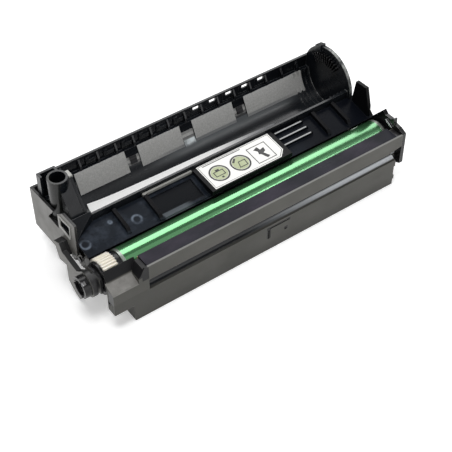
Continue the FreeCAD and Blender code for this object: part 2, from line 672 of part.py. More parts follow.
def make_toner_bay():
    """The trough for the toner cartridge, with its double back wall, panels, ring and post."""
    bay = Piece("toner_bay")
    length = "bay_right - bay_left"
    bay.rod(BAY, "bay_outer", "bay_left", length)
    back = [
        ("bay_depth + 14", "bay_height - 23"), ("overall_depth", "bay_height - 12"),
        ("overall_depth", "rim_top"), ("bay_depth + 20", "rim_top"), BAY,
    ]
    bay.prism(back, "bay_left", length)
    bay.rod(BAY, "ring_radius", "bay_right - ring_thickness", "ring_thickness")
    bay.block(("bay_right - ring_thickness", "bay_depth - ring_radius - 1", "0"),
              ("bay_right", "cover_back + seat_gap", "cover_back_top + seat_gap"), cut=True)
    # Inside: smooth over most of the length, with fine arc ribs next to the ring
    bay.rod(BAY, "bay_radius", "bay_left + wall", "arc_rib_left - bay_left - wall", cut=True)
    bay.rod(BAY, "bay_radius - arc_rib_height", "arc_rib_left",
            "bay_right - ring_thickness - arc_rib_left", cut=True)
    groove = bay.rod(BAY, "bay_radius", "arc_rib_left + arc_rib_width",
                     "arc_rib_pitch - arc_rib_width", cut=True)
    bay.row(groove, "arc_rib_pitch", "arc_rib_count")
    # Flat panels along the back of the trough, parted by three notches
    panel = [
        ("bay_depth + 24.9", "panel_top"), ("bay_depth + 16.7", "panel_foot"),
        ("bay_depth + 19", "panel_foot - 1.5"), ("bay_depth + 26", "panel_top"),
    ]
    bay.prism(panel, "panel_left", "panel_right - panel_left")
    notch = bay.rod(BAY, "bay_radius", "notch_left", "notch_width", cut=True)
    bay.row(notch, "notch_pitch", "notch_count")
    # Open top, from the front lip to the back wall
    top = "bay_height + bay_outer + 1"
    mouth = [
        ("bay_depth - bay_outer - 1", "bay_lip_top"), ("bay_depth - bay_outer - 1", top),
        ("overall_depth - wall", top), ("overall_depth - wall", "panel_top"),
        ("bay_depth + bay_radius - 3", "panel_top"), ("bay_depth", "bay_lip_top"),
    ]
    bay.prism(mouth, "bay_left + wall", "bay_right - bay_left - wall - ring_thickness",
              cut=True)
    end_top = [
        ("bay_depth - bay_outer - 1", "cover_back_top + 0.3"),
        ("bay_depth - 4", "bay_height + 27"), ("bay_depth + 2", "bay_height + 27"),
        ("bay_depth + 12", "rim_top"), ("overall_depth + 1", "rim_top"),
        ("overall_depth + 1", top), ("bay_depth - bay_outer - 1", top),
    ]
    bay.prism(end_top, "bay_left", "wall", cut=True)
    # Gussets that divide the channel behind the panels into cells, and windows in the back wall
    gusset = [
        ("channel_front", "panel_top - 0.5"), ("overall_depth - wall + 0.2", "panel_top - 0.5"),
        ("overall_depth - wall + 0.2", "rim_top - 1"), ("channel_front", "panel_top + 4"),
    ]
    bay.row(bay.prism(gusset, "cell_left", "cell_rib"), "cell_pitch", "cell_count")
    window = bay.block(("window_left", "overall_depth - wall", "panel_top + 2"),
                       ("window_left + window_width", "overall_depth", "rim_top - 1.7"),
                       cut=True)
    bay.row(window, "cell_pitch", "window_count")
    # Toner inlets through the front of the trough into the sump
    inlet = bay.block(("inlet_left", "bay_depth - 19", "bay_height - 25"),
                      ("inlet_left + inlet_width", "bay_depth - 14", "bay_height - 12"),
                      cut=True)
    bay.row(inlet, "inlet_pitch", "inlet_count")
    # Shelf under the back edge of the cover, and the rail that closes the sump
    left = "bay_left + wall"
    shelf = [
        ("cover_back - 4", "cover_back_top - 5.2"), under_cover("cover_back - 4"),
        under_cover("cover_back + 1.4"), ("cover_back + 1.4", "cover_back_top - 5.5"),
    ]
    bay.prism(shelf, left, "bay_right - ring_thickness - bay_left - wall")
    bay.block((left, "frame_back - 3", "rail_height"),
              ("bay_right - ring_thickness - 1", "frame_back + 1", "rail_height + 4.3"))
    make_bay_left_end(bay)
    # Tooth on top of the ring
    tooth = [
        ("bay_depth + 7", "bay_height + 25"), ("bay_depth + 14.5", "bay_height + 22"),
        ("bay_depth + 14", "tooth_top - 2.2"), ("bay_depth + 8", "tooth_top"),
    ]
    bay.prism(tooth, "bay_right - 6", "6")


def make_bay_left_end(bay):
    """The sloping end block, the hollow post and the fin box at the bay's driven end."""
    lip = "bay_depth - bay_outer + 0.3"
    left = "cover_left - 0.2"
    flare = [
        (lip, "bay_height - 19.5"), (lip, "bay_height - 2"),
        ("bay_depth - 4", "bay_height + 27"), ("bay_depth + 2", "bay_height + 27"),
        ("bay_depth + 2", "bay_height - 19.5"),
    ]
    bay.prism(flare, "post_x - 2", "bay_left + 0.5 - post_x + 2")
    # Buttress that spreads from the end block over the cover
    buttress = [
        on_cover("cover_back - 11"), on_cover("cover_back + 1"),
        ("cover_back + 1", "cover_back_top + 9.5"),
    ]
    bay.prism(buttress, "cover_left", "bay_left + 3 - cover_left")
    slant = [
        ("cover_left - 1", "cover_back - 12"), ("bay_left + 3.1", "cover_back - 12"),
        ("bay_left + 3.1", "cover_back - 0.3"), ("cover_left - 1", "cover_back - 10.7"),
    ]
    bay.prism(slant, "cover_front_top", "20", "z", cut=True)
    floor = [
        (left, lip), ("bay_left", lip), ("bay_left", "bay_depth + 24"),
        (left, "bay_depth + 24"),
    ]
    bay.prism(floor, "post_foot - 3", "3.5", "z")
    bay.rod(("post_x", "post_y"), "post_radius", "post_foot", "post_top - post_foot", "z")
    bay.rod(("post_x", "post_y"), "post_bore", "post_foot + wall", "post_top - post_foot", "z",
            cut=True)
    bay.block((left, "bay_depth + 11", "post_foot"),
              ("bay_left - 1", "bay_depth + 17", "bay_height + 23"))
    bay.block((f"{left} + wall", "bay_depth + 10", "post_foot + 6"),
              ("bay_left - 3", "bay_depth + 15", "bay_height + 24"), cut=True)


def make_bay_clips():
    """Two small clips that sit in the outer notches between the panels."""
    for side, place in (("left", "0"), ("right", "2")):
        clip = Piece(f"bay_clip_{side}")
        inner = "(bay_radius - 1.4)"
        outer = "(bay_radius - seat_gap)"
        section = [
            (f"bay_depth + {outer} * cos({angle})", f"bay_height - {outer} * sin({angle})")
            for angle in (20, 35)
        ] + [
            (f"bay_depth + {inner} * cos({angle})", f"bay_height - {inner} * sin({angle})")
            for angle in (35, 20)
        ]
        left = f"notch_left + notch_width / 2 - clip_width / 2 + {place} * notch_pitch"
        clip.prism(section, left, "clip_width")


# End covers and the bearing arm


def make_left_cover():
    """The driven end's cover, with walls along its foot and back, and its latch bracket."""
    cover = Piece("left_end_cover")
    reach = "frame_left - left_cover_outer"
    plate = [(1.04, -1.42), (1.09, 0.12), (-0.36, 0.22), (0.02, -0.26), (-0.61, -0.28),
             (-0.61, -0.92), (-0.13, -1.4)]
    cover.prism(around("bay", plate), "left_cover_outer", reach)
    hollow = [(1, -1.33), (1, 1.48), (-0.7, 1.48), (-0.7, -0.82), (-0.6, -0.82), (-0.12, -1.32)]
    cover.prism(around("bay", hollow), "left_cover_outer + wall", reach, cut=True)
    bracket = Piece("latch_bracket")
    plate = [(-0.61, 0.32), (-0.96, 0.6), (-1.64, 0.62), (-1.62, -0.61), (-1.2, -0.88),
             (-0.61, -0.92)]
    bracket.prism(around("bay", plate), "left_cover_outer", reach)
    hollow = [(-0.5, -0.82), (-0.5, 1.48), (-2.4, 1.48), (-2.4, -1.2), (-1.09, -1.2),
              (-1.09, -0.82)]
    bracket.prism(around("bay", hollow), "left_cover_outer + wall", reach, cut=True)
    window = [(-0.8, 0.21), (-1.36, 0.33), (-1.28, -0.06), (-0.77, -0.16)]
    bracket.prism(around("bay", window), "left_cover_outer", "wall", cut=True)


def make_bearing_arm():
    """The arm that carries the driven end of the drum shaft, and the collar over the gear."""
    arm = Piece("drum_bearing_arm")
    centre = DRUM_AXIS[1:]
    arm.rod(centre, "arm_radius", "arm_outer", "arm_thickness")
    web = [(0, 0.68), (0.47, 0.5), (0.93, 0.13), (1.64, 0.24), (2.29, 0.33), (2.53, 0.77),
           (3.07, 0.53), (2.67, -0.47), (1.97, -0.3), (1.93, -1.4), (1.4, -1.8), (0.93, -1.95),
           (0.07, -0.68)]
    arm.prism(around("drum", web), "arm_outer", "arm_thickness")
    pad = [(2.13, 0.07), (2.53, 0.73), (3.07, 0.53), (2.73, -0.07)]
    arm.prism(around("drum", pad), "arm_inner - 0.1", "arm_gap + 0.1")
    arm.rod(centre, "arm_boss_radius", "arm_inner - 0.1", "arm_boss_length + 0.1")
    # Side plate around the boss
    side = [(-0.53, 0.48), (0.64, 0.48), (0.9, 0.1), (0.9, -0.8), (0, -0.8), (-0.53, -0.53)]
    arm.prism(around("drum", side), "left_cover_outer", "wall")
    arm.rod(centre, "shaft_radius + running_gap", "arm_outer",
            "arm_thickness + arm_boss_length", cut=True)
    collar = Piece("gear_collar")
    collar.rod(centre, "arm_collar_radius", "gear_left - seat_gap - wall", "wall",
               bore="shaft_radius + 1")


def make_right_cover():
    """The free end's cover, which carries the drum shaft, with hooks on its top edge."""
    cover = Piece("right_end_cover")
    plate = [(-1.73, -0.8), (-1.73, 1.22), (-1.33, 1.4), (-0.96, 1.44), (-0.94, 1.8),
             (-0.69, 1.61), (-0.24, 1.61), (-0.03, 1.81), (0.89, 0.71), (1.33, 1.13),
             (2.4, 1.3), (2.43, -0.13), (1.73, -1.33), (-0.53, -1.33)]
    cover.prism(around("drum", plate), "right_cover_inner", "right_cover_thickness")
    cover.rod(DRUM_AXIS[1:], "shaft_radius + running_gap", "right_cover_inner",
              "right_cover_thickness", cut=True)


def make_contacts():
    """The earth leaf over the arm's boss, and the charge leaf on the ledge at the free end."""
    earth = Piece("earth_contact")
    top = "drum_height + arm_boss_radius"
    earth.block(("left_cover_outer + 0.4", "drum_depth + 1", top),
                ("gear_left - seat_gap - wall - 0.1", "drum_depth + 5",
                 f"{top} + contact_thickness"))
    charge = Piece("charge_contact")
    left = "blade_left + blade_length + seat_gap"
    charge.block((left, "ledge_lip + 1", "ledge_top"),
                 ("right_cover_inner - seat_gap", "ledge_depth - 1",
                  "ledge_top + contact_thickness"))


make_waste_box()
make_cleaning_blade()
make_charge_roller()
make_drum()
make_gear_train()
make_developer_rollers()
make_doctor_blade()
make_developer_frame()
make_developer_cover()
make_label()
make_toner_bay()
make_bay_clips()
make_left_cover()
make_bearing_arm()
make_right_cover()
make_contacts()

doc.recompute()

faults = [item.Name + " did not recompute" for item in doc.Objects
          if "Invalid" in item.State or "Error" in item.State]
for piece in pieces:
    shape = piece.body.Shape
    if shape.isNull() or not shape.isValid() or len(shape.Solids) != 1:
        faults.append(piece.body.Label + " is not one valid solid")
if faults:
    raise RuntimeError("; ".join(faults))

os.makedirs("parts", exist_ok=True)
for piece in pieces:
    piece.body.Shape.exportStep(os.path.join("parts", piece.body.Label + ".step"))
print(len(pieces), "pieces written")
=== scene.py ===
import math

import bpy
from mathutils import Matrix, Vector

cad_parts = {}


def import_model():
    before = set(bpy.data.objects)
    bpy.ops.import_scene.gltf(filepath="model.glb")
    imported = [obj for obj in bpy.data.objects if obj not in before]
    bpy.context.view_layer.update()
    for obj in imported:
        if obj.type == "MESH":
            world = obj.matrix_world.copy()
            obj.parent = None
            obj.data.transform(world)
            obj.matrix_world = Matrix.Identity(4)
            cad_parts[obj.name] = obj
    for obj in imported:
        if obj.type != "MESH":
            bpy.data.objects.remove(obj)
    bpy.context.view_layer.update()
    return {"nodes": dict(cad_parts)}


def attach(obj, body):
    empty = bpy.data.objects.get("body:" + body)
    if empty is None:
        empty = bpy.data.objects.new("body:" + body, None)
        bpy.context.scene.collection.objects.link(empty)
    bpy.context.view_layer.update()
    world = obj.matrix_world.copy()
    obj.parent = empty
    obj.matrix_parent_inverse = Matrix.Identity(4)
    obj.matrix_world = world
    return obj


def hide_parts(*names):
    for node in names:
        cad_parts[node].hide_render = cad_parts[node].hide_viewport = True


# Look of the printer drum unit: satin black mouldings with faint moulding marks, a glossy green
# drum with bare aluminium rims, a cream gear, steel parts and a printed label with pictograms.
# Places and sizes are in millimetres of the drawing, and the lamps and the floor are in metres.
# A noise's scale is a count of features in a metre.

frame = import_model()
nodes = frame["nodes"]

MM = 0.001
# The drawing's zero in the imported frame: X along the drum, Y from the front face, Z up
ZERO = Vector((-116.0, -59.9, 0.0)) * MM
X, Y, Z = 0, 1, 2
# Depth and height of the drum's axis and of the toner bay's axis
DRUM = (26.0, 32.0)
BAY = (90.0, 53.0)


def at(x, y, z):
    """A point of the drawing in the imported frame."""
    return Vector((x, y, z)) * MM + ZERO


def around(centre, radius, angle):
    """Depth and height of a point at an angle about an axis that runs along the drum."""
    turn = math.radians(angle)
    return centre[0] + radius * math.cos(turn), centre[1] + radius * math.sin(turn)


def grey(value):
    """A colour with the same value three times, also for a roughness that is mixed as a colour."""
    return value, value, value


# Nodes of the materials


def new_material(name):
    """A new material with its tree and its main shader."""
    material = bpy.data.materials.new(name)
    material.use_nodes = True
    tree = material.node_tree
    return material, tree, tree.nodes["Principled BSDF"]


def node(tree, kind, **values):
    """A shader node with its properties and the inputs of the given names set."""
    made = tree.nodes.new(kind)
    for key, value in values.items():
        if key in made.inputs:
            made.inputs[key].default_value = value
        else:
            setattr(made, key, value)
    return made


def feed(tree, socket, value):
    """Link a socket to another, or set it to a plain value."""
    if isinstance(value, bpy.types.NodeSocket):
        tree.links.new(value, socket)
    else:
        socket.default_value = value


def combine(tree, operation, first, second=0.0):
    """The result of a sum with one or two values."""
    made = node(tree, "ShaderNodeMath", operation=operation)
    feed(tree, made.inputs[0], first)
    feed(tree, made.inputs[1], second)
    return made.outputs[0]


def mix(tree, share, low, high):
    """A colour that goes from low to high as the share goes from 0 to 1."""
    made = node(tree, "ShaderNodeMix", data_type="RGBA")
    feed(tree, made.inputs[0], share)
    for socket, value in ((made.inputs[6], low), (made.inputs[7], high)):
        feed(tree, socket, (*value, 1) if isinstance(value, tuple) else value)
    return made.outputs[2]


def noise(tree, scale, detail=4.0, roughness=0.5, stretch=(1, 1, 1)):
    """Noise over the object's own space, stretched along the axes."""
    place = node(tree, "ShaderNodeTexCoord")
    mapping = node(tree, "ShaderNodeMapping")
    mapping.inputs["Scale"].default_value = stretch
    tree.links.new(place.outputs["Object"], mapping.inputs["Vector"])
    made = node(tree, "ShaderNodeTexNoise", Scale=scale, Detail=detail, Roughness=roughness)
    tree.links.new(mapping.outputs["Vector"], made.inputs["Vector"])
    return made.outputs["Fac"]


def ramp(tree, source, low, high, start=0.35, end=0.65):
    """A colour or grey that runs from low to high as the source runs from start to end."""
    made = node(tree, "ShaderNodeValToRGB")
    for element, position, value in zip(made.color_ramp.elements, (start, end), (low, high)):
        element.position = position
        element.color = (*(value if isinstance(value, tuple) else grey(value)), 1)
    tree.links.new(source, made.inputs["Fac"])
    return made.outputs["Color"]


def bump(tree, shader, source, depth, strength=1.0, normal=None):
    """Bumps of a depth in metres on the shader, over a normal that may be rounded already."""
    made = node(tree, "ShaderNodeBump", Distance=depth, Strength=strength)
    tree.links.new(source, made.inputs["Height"])
    if normal is not None:
        tree.links.new(normal, made.inputs["Normal"])
    tree.links.new(made.outputs["Normal"], shader.inputs["Normal"])


# Masks: values from 0 to 1 that say where a paint lies


def fade(tree, source, start, end):
    """A mask that goes smoothly from 0 where the source is start to 1 where it is end."""
    made = node(tree, "ShaderNodeMapRange", interpolation_type="SMOOTHSTEP")
    made.inputs["From Min"].default_value = start
    made.inputs["From Max"].default_value = end
    tree.links.new(source, made.inputs["Value"])
    return made.outputs["Result"]


def inverse(tree, mask):
    """A mask that is 1 where the given one is 0."""
    return combine(tree, "SUBTRACT", 1.0, mask)


def both(tree, *masks):
    """A mask that is 1 only where each of the masks is 1."""
    result = masks[0]
    for mask in masks[1:]:
        result = combine(tree, "MULTIPLY", result, mask)
    return result


def either(tree, first, second):
    """A mask that is 1 where one of two masks is 1."""
    return combine(tree, "MAXIMUM", first, second)


def place_on(tree, axis):
    """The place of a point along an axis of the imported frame, in metres."""
    place = node(tree, "ShaderNodeTexCoord")
    split = node(tree, "ShaderNodeSeparateXYZ")
    tree.links.new(place.outputs["Object"], split.inputs[0])
    return split.outputs[axis]


def beyond(tree, axis, edge, soft=0.3):
    """A mask that is 1 past an edge, and fades over a distance of soft on each side of it."""
    middle = edge * MM + ZERO[axis]
    return fade(tree, place_on(tree, axis), middle - soft * MM, middle + soft * MM)


def before(tree, axis, edge, soft=0.3):
    """A mask that is 1 up to an edge, and fades over a distance of soft on each side of it."""
    return inverse(tree, beyond(tree, axis, edge, soft))


def within(tree, x=(None, None), y=(None, None), z=(None, None), soft=0.3):
    """A mask for a box, from the low and the high side on each axis; None leaves a side open."""
    masks = []
    for axis, (low, high) in ((X, x), (Y, y), (Z, z)):
        if low is not None:
            masks.append(beyond(tree, axis, low, soft))
        if high is not None:
            masks.append(before(tree, axis, high, soft))
    return both(tree, *masks)


def facing(tree, axis, start, end):
    """A mask by the surface's own direction along an axis of the object."""
    shape = node(tree, "ShaderNodeNewGeometry")
    split = node(tree, "ShaderNodeSeparateXYZ")
    tree.links.new(shape.outputs["True Normal"], split.inputs[0])
    return fade(tree, split.outputs[axis], start, end)


def ring_mark(tree, x, y, radius, width):
    """A mask for the faint round mark that an ejector pin leaves on a moulding."""
    place = node(tree, "ShaderNodeTexCoord")
    flat = node(tree, "ShaderNodeVectorMath", operation="MULTIPLY")
    flat.inputs[1].default_value = (1, 1, 0)
    tree.links.new(place.outputs["Object"], flat.inputs[0])
    reach = node(tree, "ShaderNodeVectorMath", operation="DISTANCE")
    tree.links.new(flat.outputs[0], reach.inputs[0])
    centre = at(x, y, 0)
    reach.inputs[1].default_value = (centre.x, centre.y, 0)
    off = combine(tree, "ABSOLUTE", combine(tree, "SUBTRACT", reach.outputs["Value"], radius * MM))
    return inverse(tree, fade(tree, off, 0.1 * width * MM, width * MM))


def soft_edges(tree, radius=0.35):
    """Rounded shading along the edges, and a mask that is 1 on them."""
    bevel = node(tree, "ShaderNodeBevel", samples=6, Radius=radius * MM)
    shape = node(tree, "ShaderNodeNewGeometry")
    turn = node(tree, "ShaderNodeVectorMath", operation="DOT_PRODUCT")
    tree.links.new(bevel.outputs["Normal"], turn.inputs[0])
    tree.links.new(shape.outputs["True Normal"], turn.inputs[1])
    return bevel.outputs["Normal"], fade(tree, inverse(tree, turn.outputs["Value"]), 0.02, 0.2)


def paint(tree, colour, *layers):
    """A colour with paints laid over it in turn, each a pair of a mask and a paint."""
    for mask, cover in layers:
        colour = mix(tree, mask, colour, cover)
    return colour


# Shades of the mouldings by place


def groove(tree):
    """A mask for the half-round groove along the front face."""
    return both(tree, within(tree, y=(None, 7.0), z=(26.5, 37.2)), beyond(tree, Y, 0.25, 0.1))


def box_shades(tree, colour):
    """Front moulding: darker towards the foot, painted shade below and in the groove, in the slits
    and holes, over the inside and in a recess, painted highlights along the groove's edge and the
    front lip, and painted sheen on the end's top.
    """
    # Darker towards the foot
    foot = combine(tree, "MULTIPLY", before(tree, Z, 7, 7), 0.45)
    # Painted shade on the face below the groove
    shaded_low_face = combine(tree, "MULTIPLY", before(tree, Z, 27, 0.5), 0.22)
    # Painted shade in the groove, and a painted highlight along its lower edge towards the free end
    groove_shade = groove(tree)
    groove_edge_highlight = both(tree, groove_shade, before(tree, Z, 28.7, 0.9), beyond(tree, X, 155, 60))
    # Painted shade in the slits and the hole of the front face, and on the face round them
    slit_shade = grey(0.004)
    slit_walls = both(tree, within(tree, x=(120, 200), y=(None, 3.5), z=(3.0, 25.0)),
                      beyond(tree, Y, 0.15, 0.1))
    slit_side = within(tree, x=(121.7, 125.4), y=(None, 1.5), z=(12.6, 24.4))
    slit_top = within(tree, x=(121.7, 144.2), y=(None, 1.5), z=(22.4, 24.4))
    dot = within(tree, x=(138.7, 142.1), y=(None, 1.5), z=(13.3, 16.5))
    # Painted shade in the datum hole and on a square round it
    datum_hole_shade = both(tree, within(tree, y=(5.2, 9.6), z=(22.2, 26.2), soft=0.1),
                      before(tree, X, -12.5))
    # Painted shade over the inside of the box and in the recess; the guard beside the recess is
    # painted near-black with it
    inside = within(tree, x=(2.0, None), y=(7.8, None), z=(None, 38.0))
    guard = within(tree, x=(None, 10.4), z=(41.6, None))
    recess = both(tree, within(tree, x=(8.0, None), z=(37.5, None)), before(tree, X, 13.8, 0.2))
    # Painted sheen, mottled, on the top face of the end
    end_top = both(tree, within(tree, x=(None, 10.6), z=(36.3, 41.5)), facing(tree, Z, 0.8, 0.9))
    painted_sheen = ramp(tree, noise(tree, 160, 5, 0.6), (0.155, 0.151, 0.142), (0.225, 0.219, 0.207))
    # Painted highlight along the top of the front lip
    lip = both(tree, before(tree, Y, 1.7, 0.2), beyond(tree, Z, 49.7, 0.2), beyond(tree, X, 13))
    return paint(
        tree, colour,
        (foot, (0.030, 0.030, 0.026)),
        (shaded_low_face, (0.010, 0.010, 0.009)),
        (groove_shade, (0.004, 0.006, 0.010)),
        (groove_edge_highlight, (0.90, 0.94, 0.98)),
        (slit_walls, slit_shade),
        (slit_side, slit_shade),
        (slit_top, slit_shade),
        (dot, slit_shade),
        (datum_hole_shade, grey(0.003)),
        (inside, (0.012, 0.012, 0.013)),
        (either(tree, guard, recess), (0.006, 0.006, 0.007)),
        (end_top, painted_sheen),
        (lip, (0.20, 0.20, 0.19)))


# Ejector marks on the cover as X, Y and radius
EJECTOR_MARKS = ((-10.5, 47.5, 3.6), (34.6, 47.7, 3.6), (15.8, 55.5, 1.2))
# The cover's rise with depth, and the heights over the middle of the footprint between which its
# raised parts begin
COVER_SLOPE = 0.203
RAISED_FROM, RAISED_TO = 51.6, 52.2


def cover_shades(tree, colour):
    """Cover: smudged ejector marks, dusting, painted shade in a deep recess with painted light on
    its lower face, a painted shadow over the free end, and black raised parts with painted
    highlights on rib tops and a rim.
    """
    smudge = ramp(tree, noise(tree, 130, 4, 0.6), 0.15, 0.7, 0.42, 0.6)
    marks = [(both(tree, ring_mark(tree, x, y, radius, 1.5), smudge), (0.20, 0.24, 0.30))
             for x, y, radius in EJECTOR_MARKS]
    dust_and_fade = both(tree, ramp(tree, noise(tree, 75, 6, 0.65), 0.0, 0.6, 0.52, 0.70),
                before(tree, X, 95, 4))
    # Painted shade in the deep recess
    recess = within(tree, x=(52.8, 91.2), y=(40.4, 59.3), z=(None, 49.4))
    # Painted light on the lower face of the recess
    painted_light_strip = both(tree, beyond(tree, X, 53.5, 1.0), before(tree, X, 77, 5),
                      beyond(tree, Y, 36.5), before(tree, Y, 42.6, 0.5))
    slope = combine(tree, "MULTIPLY", place_on(tree, Y), COVER_SLOPE)
    height = combine(tree, "SUBTRACT", place_on(tree, Z), slope)
    raised = fade(tree, height, RAISED_FROM * MM, RAISED_TO * MM)
    # Painted highlights on the tops of the ribs beside the label and on the rear rim of the recess
    rib_top_highlights = both(tree, raised, facing(tree, Z, 0.93, 0.97), within(tree, x=(174, 201)))
    rear_rim_highlight = both(tree, raised, beyond(tree, Y, 60.4, 0.2), within(tree, x=(48, 94)))
    return paint(
        tree, colour,
        *marks,
        (dust_and_fade, (0.042, 0.052, 0.070)),
        # Painted shadow over the free end
        (beyond(tree, X, 190, 18), (0.004, 0.005, 0.008)),
        (recess, (0.004, 0.005, 0.007)),
        (painted_light_strip, (0.085, 0.098, 0.110)),
        (raised, (0.005, 0.005, 0.006)),
        (rib_top_highlights, (0.42, 0.43, 0.43)),
        (rear_rim_highlight, (0.30, 0.30, 0.28)))


def bay_shades(tree, colour):
    """Bay: a mottled painted reflection on the slanted panel faces, a painted reflection band in
    the trough, a dark post, a painted glint, and painted highlights on the right end's rim.
    """
    inward = inverse(tree, facing(tree, Y, 0.02, 0.2))
    slanted = both(tree, facing(tree, Z, 0.38, 0.42), facing(tree, Y, -0.80, -0.86))
    ribbed = both(tree, beyond(tree, X, 233.0), inward)
    # Painted reflection: the slanted panel faces and the ribs at the right end are pale, mottled
    panel_reflection = both(tree, either(tree, slanted, ribbed),
                  within(tree, x=(19.8, 244.2), y=(106.4, 115.2), z=(34.2, 50.9)))
    grain = ramp(tree, noise(tree, 900, 4, 0.7), (0.36, 0.36, 0.35), (0.50, 0.50, 0.49))
    post = both(tree, within(tree, y=(79, 97), z=(30, None)), before(tree, X, -9.0, 1.6))
    # Painted reflection in a band along the trough
    painted_reflection_band = both(tree, before(tree, Z, 36.5, 0.5), beyond(tree, Z, 31.6, 1.8),
                 beyond(tree, Y, 99, 3), before(tree, Y, 114, 0.5), inward,
                 beyond(tree, X, 105, 35), before(tree, X, 232, 14),
                 ramp(tree, noise(tree, 40, 3, 0.5, (0.3, 1, 1)), 0.45, 1.0))
    glint = both(tree, beyond(tree, X, 119.5, 0.5), before(tree, X, 130.0, 0.8),
                 beyond(tree, Z, 34.6, 1.2), before(tree, Z, 37.8, 0.5), beyond(tree, Y, 104),
                 inward, ramp(tree, noise(tree, 170, 4, 0.6), 0.35, 1.0, 0.38, 0.56))
    sideways = either(tree, facing(tree, X, 0.3, 0.6), facing(tree, X, -0.3, -0.6))
    # Painted highlights on the up-facing rim of the right end, broken by a noise
    end_rim_highlight = both(tree, beyond(tree, X, 252.6), facing(tree, Z, -0.2, 0.5),
                       inverse(tree, sideways),
                       ramp(tree, noise(tree, 110, 4, 0.6), 0.1, 1.0, 0.45, 0.6))
    return paint(
        tree, colour,
        (panel_reflection, grain),
        (post, (0.014, 0.015, 0.014)),
        (painted_reflection_band, (0.13, 0.14, 0.148)),
        (glint, (0.72, 0.78, 0.80)),
        (end_rim_highlight, (0.30, 0.31, 0.30)))


def end_shades(tree, colour):
    """Driven end: the outside is painted paler than the inside, as a mottled painted sheen."""
    outside = inverse(tree, facing(tree, X, -0.8, -0.3))
    painted_sheen = ramp(tree, noise(tree, 45, 5, 0.6), (0.142, 0.138, 0.128), (0.192, 0.187, 0.174))
    return paint(tree, colour, (outside, painted_sheen))


def holder_shades(tree, colour):
    """Blade holder: purplish stains on the black coat."""
    stain = ramp(tree, noise(tree, 34, 4, 0.6, (0.5, 1, 1)), 0.0, 0.6, 0.5, 0.7)
    return paint(tree, colour, (stain, (0.046, 0.036, 0.056)))


# Materials


# Roughness where a mould was polished
POLISHED = 0.14


def plastic(name, dark, light, rough, wear_and_glint, specular=0.5, shades=None, polished=None):
    """Injection moulded plastic: fine grain, slow colour drift, uneven gloss and edges painted
    paler, as wear and as painted highlights.

    The function given as shades changes the colour by place, and the one given as polished
    makes a mask for where the mould was polished.
    """
    material, tree, shader = new_material(name)
    colour = ramp(tree, noise(tree, 26, 4), dark, light)
    if shades is not None:
        colour = shades(tree, colour)
    normal, edge = soft_edges(tree)
    # Paler edges: wear, and painted highlights along them
    rubbed_and_glinting = both(tree, edge, ramp(tree, noise(tree, 160, 4, 0.6), 0.25, 1.0, 0.4, 0.62))
    pale = tuple(value + wear_and_glint for value in light)
    tree.links.new(mix(tree, rubbed_and_glinting, colour, pale), shader.inputs["Base Color"])
    gloss = ramp(tree, noise(tree, 70, 5, 0.6, (0.35, 1, 1)), *rough)
    if polished is not None:
        gloss = mix(tree, polished(tree), gloss, grey(POLISHED))
    tree.links.new(gloss, shader.inputs["Roughness"])
    bump(tree, shader, noise(tree, 2600, 2), 0.00002, 0.35, normal)
    shader.inputs["Specular IOR Level"].default_value = specular
    return material


def acetal(name, low, high):
    """Unpainted gear plastic, a little translucent, with its teeth's edges paler."""
    material, tree, shader = new_material(name)
    colour = ramp(tree, noise(tree, 120, 4), low, high)
    normal, edge = soft_edges(tree, 0.2)
    tree.links.new(mix(tree, edge, colour, high), shader.inputs["Base Color"])
    tree.links.new(ramp(tree, noise(tree, 300, 3), 0.34, 0.48), shader.inputs["Roughness"])
    bump(tree, shader, noise(tree, 1800, 3), 0.00003, 0.4, normal)
    shader.inputs["Subsurface Weight"].default_value = 0.06
    shader.inputs["Subsurface Radius"].default_value = (0.001, 0.0008, 0.0005)
    return material


def coated_drum(name):
    """Thin green coating over drawn aluminium, which is left bare and dull at both rims."""
    material, tree, shader = new_material(name)
    drift = noise(tree, 14, 3, 0.5, (0.2, 1, 1))
    drawn = noise(tree, 600, 3, 0.6, (1, 0.08, 0.08))
    rims = either(tree, before(tree, X, 6.6, 0.2), beyond(tree, X, 253.2, 0.2))
    colour = paint(
        tree, ramp(tree, drift, (0.105, 0.330, 0.135), (0.145, 0.400, 0.180)),
        (beyond(tree, X, 190, 70), (0.085, 0.260, 0.110)),
        (rims, ramp(tree, drawn, (0.20, 0.23, 0.20), (0.30, 0.33, 0.30))))
    tree.links.new(colour, shader.inputs["Base Color"])
    gloss = paint(
        tree, ramp(tree, drift, 0.13, 0.17),
        (beyond(tree, X, 175, 80), grey(0.26)),
        (rims, grey(0.38)))
    tree.links.new(gloss, shader.inputs["Roughness"])
    shader.inputs["Metallic"].default_value = 0.8
    shader.inputs["Coat Weight"].default_value = 0.7
    shader.inputs["Coat Roughness"].default_value = 0.08
    bump(tree, shader, drawn, 0.0000005, 0.5)
    return material


def metal(name, low, high, rough):
    """Metal with fine drawing lines along the drum's axis, and duller spots."""
    material, tree, shader = new_material(name)
    drawn = noise(tree, 900, 4, 0.6, (0.05, 1, 1))
    tree.links.new(ramp(tree, drawn, low, high), shader.inputs["Base Color"])
    tree.links.new(ramp(tree, noise(tree, 90, 4), *rough), shader.inputs["Roughness"])
    shader.inputs["Metallic"].default_value = 1.0
    normal, edge = soft_edges(tree, 0.2)
    bump(tree, shader, drawn, 0.00001, 0.4, normal)
    return material


def elastic(name, low, high, rough, scale, depth, stretch=(1, 1, 1)):
    """Rubber or foam: a matt colour with a grain that is ground in or foamed."""
    material, tree, shader = new_material(name)
    grain = noise(tree, scale, 5, 0.65, stretch)
    tree.links.new(ramp(tree, grain, low, high), shader.inputs["Base Color"])
    tree.links.new(ramp(tree, noise(tree, 60, 3), rough - 0.08, rough), shader.inputs["Roughness"])
    bump(tree, shader, grain, depth, 0.8)
    return material


